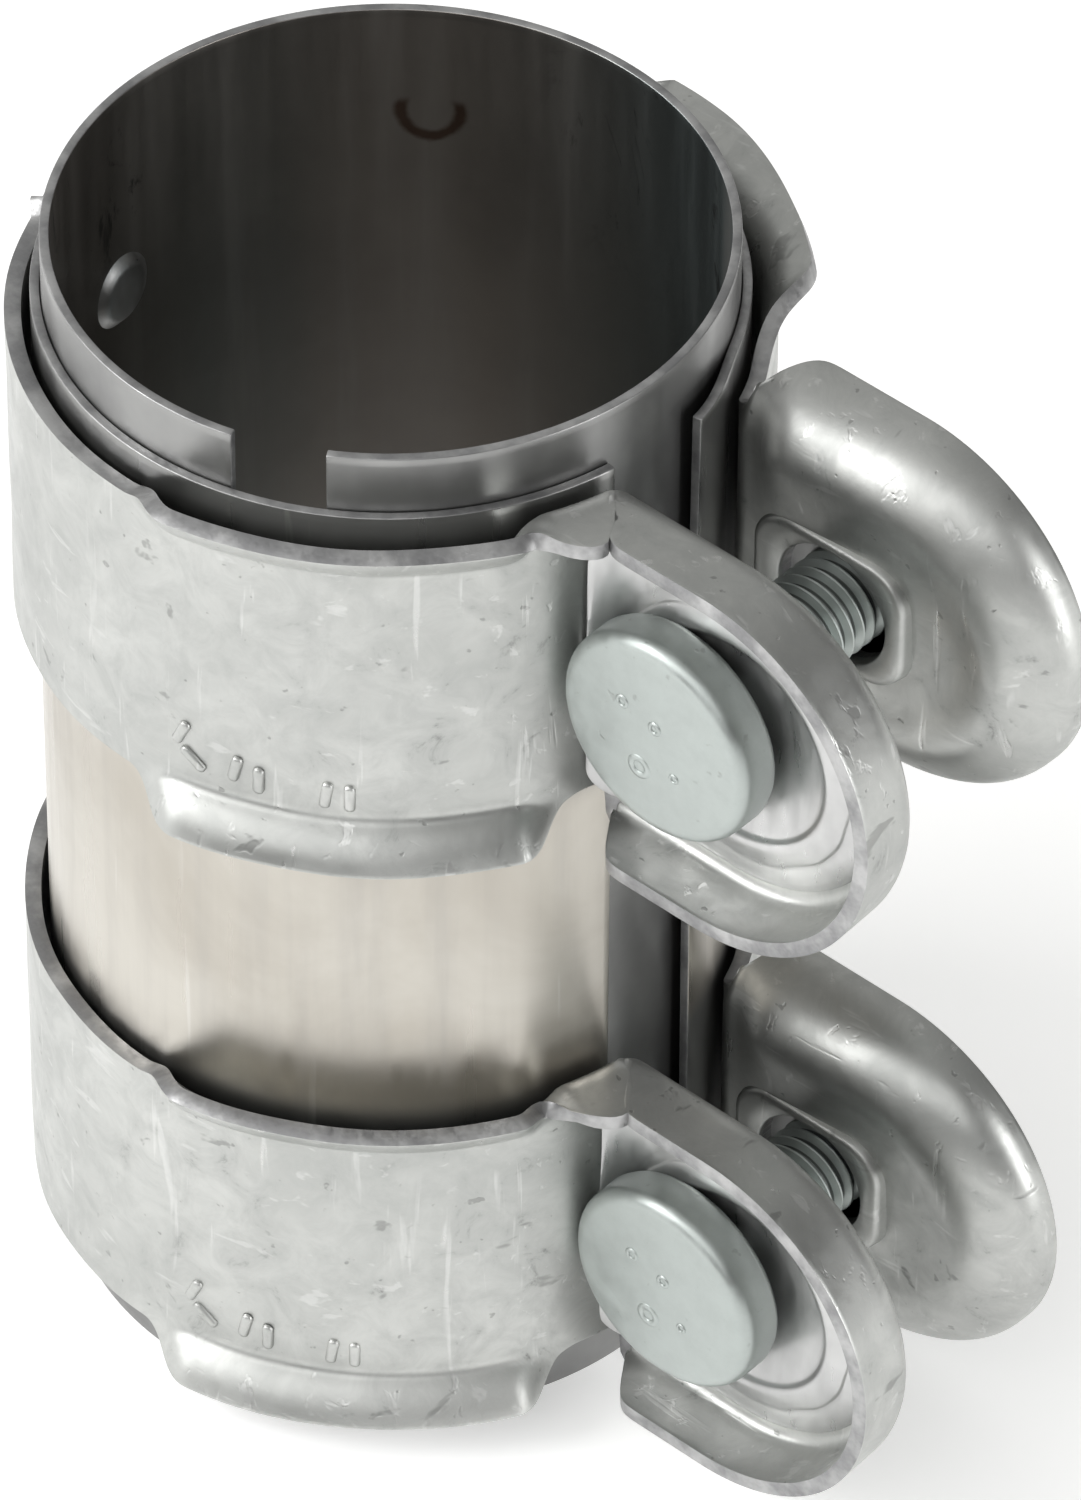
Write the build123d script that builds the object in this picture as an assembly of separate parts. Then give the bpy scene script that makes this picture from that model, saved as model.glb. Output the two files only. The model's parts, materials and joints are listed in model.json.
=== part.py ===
from build123d import *
from math import cos, radians, sin, sqrt
import os

# Sleeve clamp for joining two pipe ends. A slit double shell takes the pipes, and two
# bolted bands squeeze it. Millimetres. The sleeve's axis is Z and its lower end is at z = 0.
# The bolts lie along Y, at the +X side, with their heads towards -Y.

# Sleeve
sleeve_length = 125.0
bore_radius = 31.75
shell_thickness = 0.95
shell_gap = 0.1
outer_shell_setback = 6.3
inner_slot = (-74.2, -58.1)
outer_slot = (-10.2, 7.0)

# Bands
band_thickness = 1.6
band_inner_radius = 34.7
band_half_width = 17.0
band_heights = {"upper": 98.7, "lower": 24.4}
lip_rise = 3.7
front_lip = {"arc": (-86.0, -26.0), "flare": 3.7}
rear_lip = {"arc": (36.0, 97.0), "flare": 5.2}
tack_radius = 4.0
tack_azimuth = -173.0

# Ears: inner_face is the face towards the gap
ear_radius = 20.8
ear_centre_x = 51.0
ear_corner = 3.0
cup_start_x = 39.0
front_inner_face = {"upper": -6.7, "lower": -4.2}
rear_inner_face = {"upper": 11.0, "lower": 10.2}
front_depth = 8.0
rear_depth = 7.0
rear_hole_radius = 6.5
pad_thickness = 1.5
pad_width = 19.0
pad_height = 15.0
pad_corner = 5.0

# Insert plates in the ear cups
plate_thickness = 1.4
plate_radius = 17.4
plate_start_x = 40.5
dish_lip_radius = 12.9
dish_lip_section = 0.7

# Fasteners: M10 bolt with a square neck under the head, hexagon nut, plain washer
bolt_x = 46.0
thread_radius = 5.0
bolt_length = 36.0
head_radius = 11.3
head_height = 5.8
head_edge = 1.4
head_under_chamfer = 1.4
head_relief = 0.25
neck_side = 10.0
neck_length = 6.0
neck_clearance = 0.15
bolt_chamfer = 0.8
washer_radius = 10.0
washer_thickness = 2.0
washer_hole = 5.25
nut_across_flats = 16.0
nut_height = 8.4
thread_clearance = 0.05
nut_chamfer = 0.7

band_outer_radius = band_inner_radius + band_thickness
inner_shell_outer = bore_radius + shell_thickness
outer_shell_inner = inner_shell_outer + shell_gap
outer_shell_outer = outer_shell_inner + shell_thickness
base_up = (Align.CENTER, Align.CENTER, Align.MIN)


def tube(inner, outer, low, high):
    """A plain tube on the Z axis."""
    height = high - low
    wall = Cylinder(outer, height, align=base_up) - Cylinder(inner, height, align=base_up)
    return Pos(0, 0, low) * wall


def sector(start, end, low, high, reach=80.0):
    """A wedge about the Z axis, from one azimuth to another, for cutting slots."""
    middle = (start + end) / 2
    corners = [(reach * cos(radians(a)), reach * sin(radians(a))) for a in (start, middle, end)]
    face = make_face(Polyline((0, 0), *corners, (0, 0)))
    return Pos(0, 0, low) * extrude(face, high - low)


def along_y(sketch, start, end):
    """A sketch drawn in (x, z), as a solid from y = start to y = end."""
    plane = Plane(origin=(0, start, 0), x_dir=(1, 0, 0), z_dir=(0, -1, 0))
    return extrude(plane * sketch, start - end)


def rod(radius, start, end, height):
    """A round rod along the bolt's axis."""
    return along_y(Pos(bolt_x, height) * Circle(radius), start, end)


def ear_outline(radius, start_x, height):
    """D shape: a half circle with straight edges running back to start_x."""
    top = height + radius
    bottom = height - radius
    lines = [
        Line((ear_centre_x, bottom), (start_x, bottom)),
        Line((start_x, bottom), (start_x, top)),
        Line((start_x, top), (ear_centre_x, top)),
        ThreePointArc((ear_centre_x, top), (ear_centre_x + radius, height), (ear_centre_x, bottom)),
    ]
    return make_face(lines)


def cup(inner_face, outward, depth, height):
    """An ear: a deep-drawn D cup, its floor facing the gap and its mouth facing away from it."""
    floor = inner_face + outward * band_thickness
    rim = inner_face + outward * depth
    body = along_y(ear_outline(ear_radius, cup_start_x, height), inner_face, rim)
    floor_edges = body.edges().filter_by_position(Axis.Y, inner_face - 0.01, inner_face + 0.01)
    rounded = floor_edges.sort_by(Axis.X)[1:]
    body = fillet(rounded, ear_corner)
    hollow = ear_outline(ear_radius - band_thickness, cup_start_x - 1, height)
    body -= along_y(hollow, floor, rim)
    root_x = sqrt(band_inner_radius**2 - inner_face**2)
    root_length = cup_start_x + 1 - root_x
    root = Pos(root_x + root_length / 2, height) * Rectangle(root_length, 2 * band_half_width)
    return body + along_y(root, inner_face, floor)


def lip(shape, height, side):
    """The flared edge of a band over its arc. side is +1 for the top edge, -1 for the bottom."""
    arc = shape["arc"]
    flare = shape["flare"]
    edge = height + side * band_half_width
    tip = edge + side * lip_rise
    profile = Polyline(
        (band_inner_radius, edge - side * 0.5),
        (band_outer_radius, edge - side * 0.5),
        (band_outer_radius + 0.8, edge + side * 0.9),
        (band_outer_radius + flare, tip - side * 0.8),
        (band_outer_radius + flare - 0.8, tip),
        (band_inner_radius + 0.6, edge + side * 1.8),
        close=True,
    )
    solid = revolve(Plane.XZ * make_face(profile), Axis.Z, arc[1] - arc[0])
    return Rot(0, 0, arc[0]) * solid


def tack(height):
    """The pressed button that joins the band to the sleeve, opposite the bolt."""
    button = Cylinder(tack_radius, band_inner_radius + 0.5, align=base_up)
    reach = Rot(0, 0, tack_azimuth) * (Pos(0, 0, height) * (Rot(0, 90, 0) * button))
    return reach - tube(0.01, outer_shell_outer, 0, sleeve_length) - Cylinder(0.5, 2 * sleeve_length)


def band(level):
    """One clamp band with both its ears."""
    height = band_heights[level]
    front = front_inner_face[level]
    rear = rear_inner_face[level]
    low = height - band_half_width
    body = tube(band_inner_radius, band_outer_radius, low, low + 2 * band_half_width)
    for shape in (front_lip, rear_lip):
        body += lip(shape, height, 1)
        body += lip(shape, height, -1)
    gap = Pos(40, (front + rear) / 2, height) * Box(80, rear - front, 60)
    body -= gap
    body += cup(front, -1, front_depth, height)
    body += cup(rear, 1, rear_depth, height)
    pad = Pos(bolt_x, height) * RectangleRounded(pad_width, pad_height, pad_corner)
    body += along_y(pad, rear - pad_thickness, rear + 0.2)
    body += tack(height)
    body -= rod(rear_hole_radius, rear - pad_thickness - 1, rear + band_thickness + 1, height)
    body -= neck(front - 3, front + 1, height, neck_clearance)
    seat = head_seat(level)
    body -= rod(head_radius + head_relief, seat - head_height - 1, seat, height)
    return body


def neck(start, end, height, clearance=0.0):
    """The bolt's square neck, or with a clearance the square hole that it sits in."""
    side = neck_side + 2 * clearance
    return along_y(Pos(bolt_x, height) * Rectangle(side, side), start, end)


def plate(seat, outward, height):
    """An insert plate that backs an ear. It lies on the cup's floor, with a raised round lip."""
    face = seat + outward * plate_thickness
    body = along_y(ear_outline(plate_radius, plate_start_x, height), seat, face)
    lip_circle = Circle(dish_lip_section)
    ring = revolve(Pos(dish_lip_radius, 0) * lip_circle, Axis.Y, 360)
    ring = Pos(bolt_x, face, height) * ring
    trim = Pos(plate_start_x + 30, face, height) * Box(60, 8, 40)
    return body + (ring & trim)


def head_seat(level):
    """The plane that the bolt's head bears on."""
    return front_inner_face[level] - band_thickness - plate_thickness


def nut_seat(level):
    """The plane that the washer bears on."""
    return rear_inner_face[level] + band_thickness + plate_thickness


def head_plate(level):
    """The insert plate under the bolt's head, with a square hole."""
    height = band_heights[level]
    seat = front_inner_face[level] - band_thickness
    return plate(seat, -1, height) - neck(seat - 5, seat + 1, height, neck_clearance)


def nut_plate(level):
    """The insert plate on the nut's side, with a round hole."""
    height = band_heights[level]
    seat = rear_inner_face[level] + band_thickness
    return plate(seat, 1, height) - rod(rear_hole_radius, seat - 1, seat + 5, height)


def bolt(level):
    """Round-headed bolt: low head with a tapered underside, square neck and threaded shank."""
    height = band_heights[level]
    seat = head_seat(level)
    top = seat - head_height
    head = rod(head_radius, top, seat, height)
    head = fillet(head.edges().filter_by_position(Axis.Y, top - 0.01, top + 0.01), head_edge)
    head = chamfer(head.edges().filter_by_position(Axis.Y, seat - 0.01, seat + 0.01), head_under_chamfer)
    tip = seat + bolt_length
    shank = rod(thread_radius, seat, tip, height)
    shank = chamfer(shank.edges().filter_by_position(Axis.Y, tip - 0.01, tip + 0.01), bolt_chamfer)
    return head + shank + neck(seat, seat + neck_length, height)


def washer(level):
    """Plain washer under the nut."""
    height = band_heights[level]
    seat = nut_seat(level)
    far = seat + washer_thickness
    return rod(washer_radius, seat, far, height) - rod(washer_hole, seat, far, height)


def nut(level):
    """Hexagon nut with chamfered corners."""
    height = band_heights[level]
    near = nut_seat(level) + washer_thickness
    far = near + nut_height
    corner = nut_across_flats / sqrt(3)
    body = along_y(Pos(bolt_x, height) * RegularPolygon(corner, 6), near, far)
    crown = rod(corner, near, far, height)
    crown = chamfer(crown.edges().filter_by(GeomType.CIRCLE), nut_chamfer)
    return (body & crown) - rod(thread_radius + thread_clearance, near, far, height)


def inner_shell():
    """The inner shell, which the pipes slide into, with its lengthwise slot."""
    whole = tube(bore_radius, inner_shell_outer, 0, sleeve_length)
    return whole - sector(*inner_slot, 0, sleeve_length)


def outer_shell():
    """The outer shell, rolled round the inner one and set back from both ends."""
    low = outer_shell_setback
    high = sleeve_length - outer_shell_setback
    return tube(outer_shell_inner, outer_shell_outer, low, high) - sector(*outer_slot, low, high)


os.makedirs("parts", exist_ok=True)
pieces = {"inner_shell": inner_shell(), "outer_shell": outer_shell()}
makers = {
    "band": band,
    "bolt": bolt,
    "head_plate": head_plate,
    "nut_plate": nut_plate,
    "washer": washer,
    "nut": nut,
}
for level in band_heights:
    for kind, make in makers.items():
        pieces[f"{level}_{kind}"] = make(level)
for name, piece in pieces.items():
    export_step(piece, f"parts/{name}.step")
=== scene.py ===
import json
from math import acos, atan2, cos, degrees, exp, log1p, pi, radians, sin, sqrt, tan

import bmesh
import bpy
import numpy as np
from mathutils import Matrix, Vector


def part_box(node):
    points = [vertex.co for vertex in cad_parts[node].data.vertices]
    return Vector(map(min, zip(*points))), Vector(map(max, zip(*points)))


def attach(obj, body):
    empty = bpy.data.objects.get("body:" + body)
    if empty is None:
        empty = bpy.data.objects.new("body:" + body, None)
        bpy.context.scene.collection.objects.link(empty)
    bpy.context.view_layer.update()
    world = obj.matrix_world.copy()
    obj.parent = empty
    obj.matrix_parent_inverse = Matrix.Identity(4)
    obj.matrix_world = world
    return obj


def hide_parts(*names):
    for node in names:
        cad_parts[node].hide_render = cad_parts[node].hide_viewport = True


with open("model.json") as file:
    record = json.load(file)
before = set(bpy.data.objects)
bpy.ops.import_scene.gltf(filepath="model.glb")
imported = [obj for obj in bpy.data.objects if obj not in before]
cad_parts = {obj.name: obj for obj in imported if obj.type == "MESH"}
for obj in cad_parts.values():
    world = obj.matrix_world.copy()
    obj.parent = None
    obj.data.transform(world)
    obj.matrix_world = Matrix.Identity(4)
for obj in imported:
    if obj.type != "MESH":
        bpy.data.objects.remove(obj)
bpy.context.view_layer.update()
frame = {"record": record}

# Shapes are worked out in millimetres in the part's own frame: the sleeve's axis is Z, the bolts lie along Y
# at the +X side, heads towards -Y. finish_mesh scales them to metres.
MM = 0.001


def node_box(node):
    """A CAD node's lowest and highest corners, in millimetres."""
    low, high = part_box(node)
    return low / MM, high / MM


# Sleeve, read from the frame where it holds the size. Slots are (start, end) azimuths in degrees.
LEVELS = ("upper", "lower")
SHELL_LOW, SHELL_HIGH = node_box("inner_shell")
WRAP_LOW, WRAP_HIGH = node_box("outer_shell")
BORE_RADIUS = frame["record"]["mounts"][0]["dims"]["r_mm"]
INNER_RADIUS = -SHELL_LOW.x
WRAP_RADIUS = -WRAP_LOW.x
SHELL_SHEET = INNER_RADIUS - BORE_RADIUS
INNER_SLOT = (-74.2, -58.1)
WRAP_SLOT = (-10.2, 7.0)

# Bands: the radius is that of the sheet's middle, the half width is measured along the sheet
SHEET = 1.6
BAND_RADIUS = 35.5
BAND_HALF = 17.0
NOTCH_HALF = 15.9
WAVE_HEIGHT = 0.045

# Flared lips: where the flat ends, length of the bend, its angle, and the share of it that is rolled back
LIP_START = 14.7
LIP_BEND = {"front": 2.1, "rear": 4.6}
LIP_FLARE = {"front": 0.95, "rear": 1.25}
LIP_ROLL = 4.0
LIP_ROLL_BACK = {"front": 0.55, "rear": 0.05}
LIP_GAIN = 4.2

# Ears: D-shaped cups, the front one towards -Y
FRONT_CENTRE_X = 51.0
REAR_CENTRE_X = 50.3
EAR_RADIUS = 19.75
FRONT_DEPTH = 7.2
FRONT_CORNER = 2.2
REAR_DEPTH = 6.2
REAR_CORNER = 5.4
REAR_TILT = 0.08
ROOT_BEND = 1.8
ROOT_REACH = 1.7
WALL_SLANT = 1.5
PAD_RISE = 1.0
HOLE_RADIUS = 6.5

# Insert plates
PLATE_SHEET = 1.4
PLATE_RADIUS = 17.3
PLATE_CORNER = 4.5
PLATE_BEND_X = 39.0
FRONT_FOOT_X = 34.7
REAR_FOOT_X = 36.4

# Fasteners
BOLT_RADIUS = 5.0
THREAD_PITCH = 1.5
THREAD_DEPTH = 0.95
NECK_LENGTH = 5.2
NECK_CORNER = 0.9

# Clinch button between sleeve and band, opposite the bolts
BUTTON_AZIMUTH = -173.0
BUTTON_RISE = 2.8


class Level:
    """The places of one clamp's parts, taken from its CAD nodes."""

    def __init__(self, name):
        bolt_low, bolt_high = node_box(name + "_bolt")
        nut_low, nut_high = node_box(name + "_nut")
        washer_low, washer_high = node_box(name + "_washer")
        self.name = name
        self.z = (bolt_low.z + bolt_high.z) / 2
        self.bolt_x = (nut_low.x + nut_high.x) / 2
        self.head_face = bolt_low.y
        self.front_floor = node_box(name + "_head_plate")[1].y
        self.rear_floor = node_box(name + "_nut_plate")[0].y
        self.head_seat = self.front_floor - PLATE_SHEET
        self.head_radius = (bolt_high.z - bolt_low.z) / 2
        self.bolt_tip = bolt_high.y
        self.nut = (nut_low.y, nut_high.y)
        self.nut_flats = nut_high.z - nut_low.z
        self.washer = (washer_low.y, washer_high.y)
        self.washer_radius = (washer_high.z - washer_low.z) / 2


def smooth(value):
    """A soft step from 0 to 1."""
    value = np.clip(value, 0.0, 1.0)
    return value * value * (3 - 2 * value)


def waviness(x, y, z):
    """Gentle unevenness of pressed sheet, always inwards, in millimetres."""
    broad = np.sin(0.31 * x + 0.7) * np.sin(0.23 * y + 1.9)
    slanting = np.sin(0.37 * z + 0.4 * x)
    fine = 0.6 * np.sin(0.53 * y - 0.29 * z + 2.2)
    highest = 2.6
    return WAVE_HEIGHT * (broad + slanting + fine - highest)


# ---------------------------------------------------------------- mesh helpers


def finish_mesh(name, bm, material, sharp=35.0):
    """Turns a bmesh in millimetres into an object in metres, shaded smooth with sharp edges kept."""
    bmesh.ops.scale(bm, vec=(MM, MM, MM), verts=bm.verts)
    mesh = bpy.data.meshes.new(name)
    bm.to_mesh(mesh)
    bm.free()
    obj = bpy.data.objects.new(name, mesh)
    bpy.context.scene.collection.objects.link(obj)
    for entry in material if isinstance(material, (list, tuple)) else [material]:
        mesh.materials.append(entry)
    mesh.shade_smooth()
    mesh.set_sharp_from_angle(angle=radians(sharp))
    return obj


def add_grid(bm, points, wrap_columns=False, wrap_rows=False, material=0):
    """Adds a sheet of quads through an array of points, columns by rows."""
    columns, rows = points.shape[:2]
    verts = [[bm.verts.new(points[i, j]) for j in range(rows)] for i in range(columns)]
    for i in range(columns if wrap_columns else columns - 1):
        for j in range(rows if wrap_rows else rows - 1):
            a, b = verts[i][j], verts[(i + 1) % columns][j]
            c, d = verts[(i + 1) % columns][(j + 1) % rows], verts[i][(j + 1) % rows]
            face = bm.faces.new((a, b, c, d))
            face.material_index = material
    return verts


def apply_modifiers(obj):
    """Replaces an object's mesh by the one that its modifiers give."""
    graph = bpy.context.evaluated_depsgraph_get()
    mesh = bpy.data.meshes.new_from_object(obj.evaluated_get(graph))
    obj.modifiers.clear()
    old = obj.data
    obj.data = mesh
    bpy.data.meshes.remove(old)
    return obj


def thicken(obj, thickness, bevel, rim_material=1, offset=0.0):
    """Gives a sheet its thickness, cut edges of their own material and softened corners."""
    solid = obj.modifiers.new("solid", "SOLIDIFY")
    solid.thickness = thickness * MM
    solid.offset = offset
    solid.use_even_offset = True
    solid.material_offset_rim = rim_material
    soft = obj.modifiers.new("soft", "BEVEL")
    soft.width = bevel * MM
    soft.segments = 2
    soft.limit_method = "ANGLE"
    soft.angle_limit = radians(55)
    apply_modifiers(obj)
    obj.data.shade_smooth()
    obj.data.set_sharp_from_angle(angle=radians(50))
    return obj


def lathe(bm, profile, place, steps=96, material=0):
    """Revolves (radius, along) points about a local axis. place maps (radius, angle, along) to a point."""
    points = np.array([[place(r, 2 * pi * i / steps, h) for r, h in profile] for i in range(steps)])
    add_grid(bm, points, wrap_columns=True, material=material)
    return points


def on_bolt_axis(level, dx=0.0, dz=0.0):
    """Places a lathe's points about the bolt's axis, or one shifted from it; along is the y coordinate."""
    def place(radius, angle, along):
        return (level.bolt_x + dx + radius * cos(angle), along, level.z + dz + radius * sin(angle))
    return place


def close_ends(bm):
    """Closes every open loop with a face fan, merges doubles and turns the faces outwards."""
    bmesh.ops.remove_doubles(bm, verts=bm.verts, dist=0.0005)
    edges = [e for e in bm.edges if e.is_boundary]
    if edges:
        bmesh.ops.holes_fill(bm, edges=edges, sides=0)
    bmesh.ops.recalc_face_normals(bm, faces=bm.faces)


def register(obj, body, slot, *nodes):
    """Puts a piece on its body and hides the CAD nodes that it stands for; its slot is not used."""
    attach(obj, body)
    if nodes:
        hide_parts(*nodes)
    return obj


# ---------------------------------------------------------------- materials


class Shader:
    """A small writer of node materials."""

    def __init__(self, name):
        self.material = bpy.data.materials.new(name)
        self.material.use_nodes = True
        self.tree = self.material.node_tree
        self.tree.nodes.clear()
        self.bsdf = self.node("ShaderNodeBsdfPrincipled")
        output = self.node("ShaderNodeOutputMaterial")
        self.link(self.bsdf.outputs[0], output.inputs[0])
        self.coordinates = self.node("ShaderNodeTexCoord").outputs["Object"]

    def node(self, kind, **settings):
        made = self.tree.nodes.new(kind)
        for key, value in settings.items():
            setattr(made, key, value)
        return made

    def link(self, source, target):
        self.tree.links.new(source, target)

    def feed(self, socket, value):
        if isinstance(value, bpy.types.NodeSocket):
            self.link(value, socket)
        else:
            socket.default_value = value

    def math(self, operation, first, second=0.0, third=0.0, clamp=False):
        made = self.node("ShaderNodeMath", operation=operation, use_clamp=clamp)
        for socket, value in zip(made.inputs, (first, second, third)):
            self.feed(socket, value)
        return made.outputs[0]

    def stretched(self, scale):
        made = self.node("ShaderNodeMapping")
        self.link(self.coordinates, made.inputs["Vector"])
        made.inputs["Scale"].default_value = scale
        return made.outputs[0]

    def noise(self, scale, detail=4.0, roughness=0.55, vector=None, distortion=0.0):
        made = self.node("ShaderNodeTexNoise")
        self.link(vector or self.coordinates, made.inputs["Vector"])
        made.inputs["Scale"].default_value = scale
        made.inputs["Detail"].default_value = detail
        made.inputs["Roughness"].default_value = roughness
        made.inputs["Distortion"].default_value = distortion
        return made.outputs["Fac"]

    def cells(self, scale, vector=None):
        made = self.node("ShaderNodeTexVoronoi")
        self.link(vector or self.coordinates, made.inputs["Vector"])
        made.inputs["Scale"].default_value = scale
        return made

    def between(self, value, low, high, start=0.0, end=1.0):
        """Maps low..high of a value to start..end, with soft ends."""
        made = self.node("ShaderNodeMapRange", interpolation_type="SMOOTHSTEP")
        for socket, number in zip(made.inputs, (value, low, high, start, end)):
            self.feed(socket, number)
        return made.outputs[0]

    def mix(self, share, first, second, blend="MIX"):
        made = self.node("ShaderNodeMix", data_type="RGBA", blend_type=blend)
        self.feed(made.inputs[0], share)
        for socket, colour in zip((made.inputs[6], made.inputs[7]), (first, second)):
            self.feed(socket, colour if isinstance(colour, bpy.types.NodeSocket) else (*colour, 1.0))
        return made.outputs[2]

    def bump(self, height, distance, strength=1.0, below=None):
        made = self.node("ShaderNodeBump")
        made.inputs["Strength"].default_value = strength
        made.inputs["Distance"].default_value = distance * MM
        self.feed(made.inputs["Height"], height)
        if below is not None:
            self.link(below, made.inputs["Normal"])
        return made.outputs[0]

    def around(self):
        """(azimuth in radians, height in metres, distance from the sleeve's axis in metres)."""
        parts = self.node("ShaderNodeSeparateXYZ")
        self.link(self.coordinates, parts.inputs[0])
        x, y, z = parts.outputs
        azimuth = self.math("ARCTAN2", y, x)
        return azimuth, z, self.length(x, y)

    def length(self, first, second):
        """The length of a vector from its two components."""
        squares = [self.math("MULTIPLY", part, part) for part in (first, second)]
        return self.math("SQRT", self.math("ADD", *squares))

    def scratches(self, stretch, scale, low, high):
        """Thin streaks along one direction, 0 to 1."""
        streak = self.noise(scale, 3.0, 0.6, self.stretched(stretch), 0.4)
        return self.between(streak, low, high)

    def done(self, colour, roughness, metallic, normal=None):
        self.feed(self.bsdf.inputs["Base Color"], colour)
        self.feed(self.bsdf.inputs["Roughness"], roughness)
        self.feed(self.bsdf.inputs["Metallic"], metallic)
        if normal is not None:
            self.link(normal, self.bsdf.inputs["Normal"])
        return self.material


def band_material():
    """Aluminised sheet: pale, satin, cloudy, with scuffs, specks and stains from the press and handling."""
    s = Shader("band_steel")
    cloud = s.noise(45, 5.0, 0.6)
    mottle = s.noise(210, 6.0, 0.7, distortion=0.6)
    fine = s.noise(900, 3.0, 0.5)
    scuffs = s.scratches((1.0, 1.0, 0.10), 480, 0.61, 0.70)
    drags = s.scratches((0.16, 1.0, 1.0), 430, 0.62, 0.70)
    nicks = s.scratches((1.0, 0.35, 1.0), 260, 0.66, 0.72)
    specks = s.between(s.noise(700, 2.0, 0.5), 0.70, 0.76)
    patch = s.between(s.noise(26, 3.0, 0.5), 0.42, 0.62)
    stains = s.math("MULTIPLY", s.between(mottle, 0.60, 0.74), patch)
    colour = s.mix(s.between(cloud, 0.3, 0.7), (0.47, 0.478, 0.462), (0.60, 0.606, 0.588))
    colour = s.mix(s.between(mottle, 0.3, 0.7, 0.0, 0.5), colour, (0.40, 0.41, 0.40))
    colour = s.mix(s.math("MULTIPLY", stains, 0.65), colour, (0.16, 0.16, 0.155))
    colour = s.mix(s.math("MULTIPLY", s.math("MAXIMUM", nicks, specks), 0.45), colour, (0.16, 0.16, 0.155))
    colour = s.mix(s.math("MULTIPLY", s.math("MAXIMUM", scuffs, drags), 0.30), colour, (0.80, 0.80, 0.79))
    roughness = s.between(cloud, 0.25, 0.75, 0.34, 0.48)
    roughness = s.math("ADD", roughness, s.between(mottle, 0.3, 0.7, -0.06, 0.06))
    roughness = s.math("SUBTRACT", roughness, s.math("MULTIPLY", scuffs, 0.10))
    normal = s.bump(mottle, 0.05, 0.30)
    normal = s.bump(fine, 0.02, 0.40, normal)
    dents = s.math("ADD", s.math("ADD", scuffs, drags), s.math("MULTIPLY", s.math("ADD", nicks, specks), 1.5))
    normal = s.bump(s.math("MULTIPLY", dents, -1.0), 0.03, 0.55, normal)
    return s.done(colour, roughness, 0.92, normal)


def cut_edge_material():
    """The sheared edge of the band: darker and grainy along the cut."""
    s = Shader("cut_edge")
    grain = s.noise(1500, 3.0, 0.6)
    patches = s.noise(160, 4.0, 0.6)
    colour = s.mix(s.between(patches, 0.35, 0.65), (0.29, 0.29, 0.295), (0.52, 0.52, 0.52))
    normal = s.bump(grain, 0.05, 0.6)
    return s.done(colour, s.between(grain, 0.3, 0.7, 0.38, 0.6), 0.9, normal)


def oily_rubs(s, azimuth, height):
    """Mask of dark smears near the bore's upper end."""
    smears = s.noise(130, 5.0, 0.7, s.stretched((1.0, 1.0, 0.45)), 1.2)
    rubs = s.math("MULTIPLY", s.between(smears, 0.56, 0.66), s.between(height, 0.098, 0.112))
    return s.math("MULTIPLY", rubs, s.between(azimuth, radians(110.0), radians(90.0)))


def heat_mark(s, azimuth, height):
    """Mask of the brown line that a weld on the outside leaves in the bore: the lower part of a ring."""
    mark_azimuth, mark_height, ring_radius = radians(125.6), 0.1127, 0.0030
    across = s.math("MULTIPLY", s.math("SUBTRACT", azimuth, mark_azimuth), BORE_RADIUS * MM)
    rise = s.math("SUBTRACT", height, mark_height)
    wobble = s.math("MULTIPLY", s.math("SUBTRACT", s.noise(260, 3.0, 0.6), 0.5), 0.0012)
    away = s.math("ADD", s.length(across, rise), wobble)
    ring = s.math("ABSOLUTE", s.math("SUBTRACT", away, ring_radius))
    return s.math("MULTIPLY", s.between(ring, 0.0009, 0.0002), s.between(rise, 0.0018, 0.0006))


def inner_shell_material():
    """Cold-rolled steel, dark and oily inside, with a heat mark from welding and faint rubs."""
    s = Shader("inner_shell_steel")
    azimuth, height, distance = s.around()
    inside = s.between(distance, 0.0322, 0.0320)
    cloud = s.noise(28, 5.0, 0.6)
    streaks = s.noise(160, 4.0, 0.6, s.stretched((1.0, 1.0, 0.08)))
    outer = s.mix(s.between(cloud, 0.3, 0.7), (0.22, 0.22, 0.22), (0.36, 0.36, 0.355))
    inner = s.mix(s.between(cloud, 0.3, 0.7), (0.27, 0.252, 0.235), (0.35, 0.325, 0.30))
    from_cool_side = s.math("ABSOLUTE", s.math("SUBTRACT", azimuth, radians(45.0)))
    inner = s.mix(s.between(from_cool_side, radians(75.0), radians(20.0)), inner, (0.225, 0.262, 0.265))
    inner = s.mix(s.between(streaks, 0.5, 0.75, 0.0, 0.5), inner, (0.42, 0.40, 0.38))
    rubs = s.math("MULTIPLY", oily_rubs(s, azimuth, height), 0.75)
    inner = s.mix(rubs, inner, (0.06, 0.06, 0.06))
    mark = s.math("MULTIPLY", heat_mark(s, azimuth, height), 0.85)
    inner = s.mix(mark, inner, (0.09, 0.045, 0.025))
    colour = s.mix(inside, outer, inner)
    roughness = s.between(streaks, 0.3, 0.7, 0.28, 0.44)
    return s.done(colour, roughness, 0.95, s.bump(streaks, 0.015, 0.35))


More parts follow.
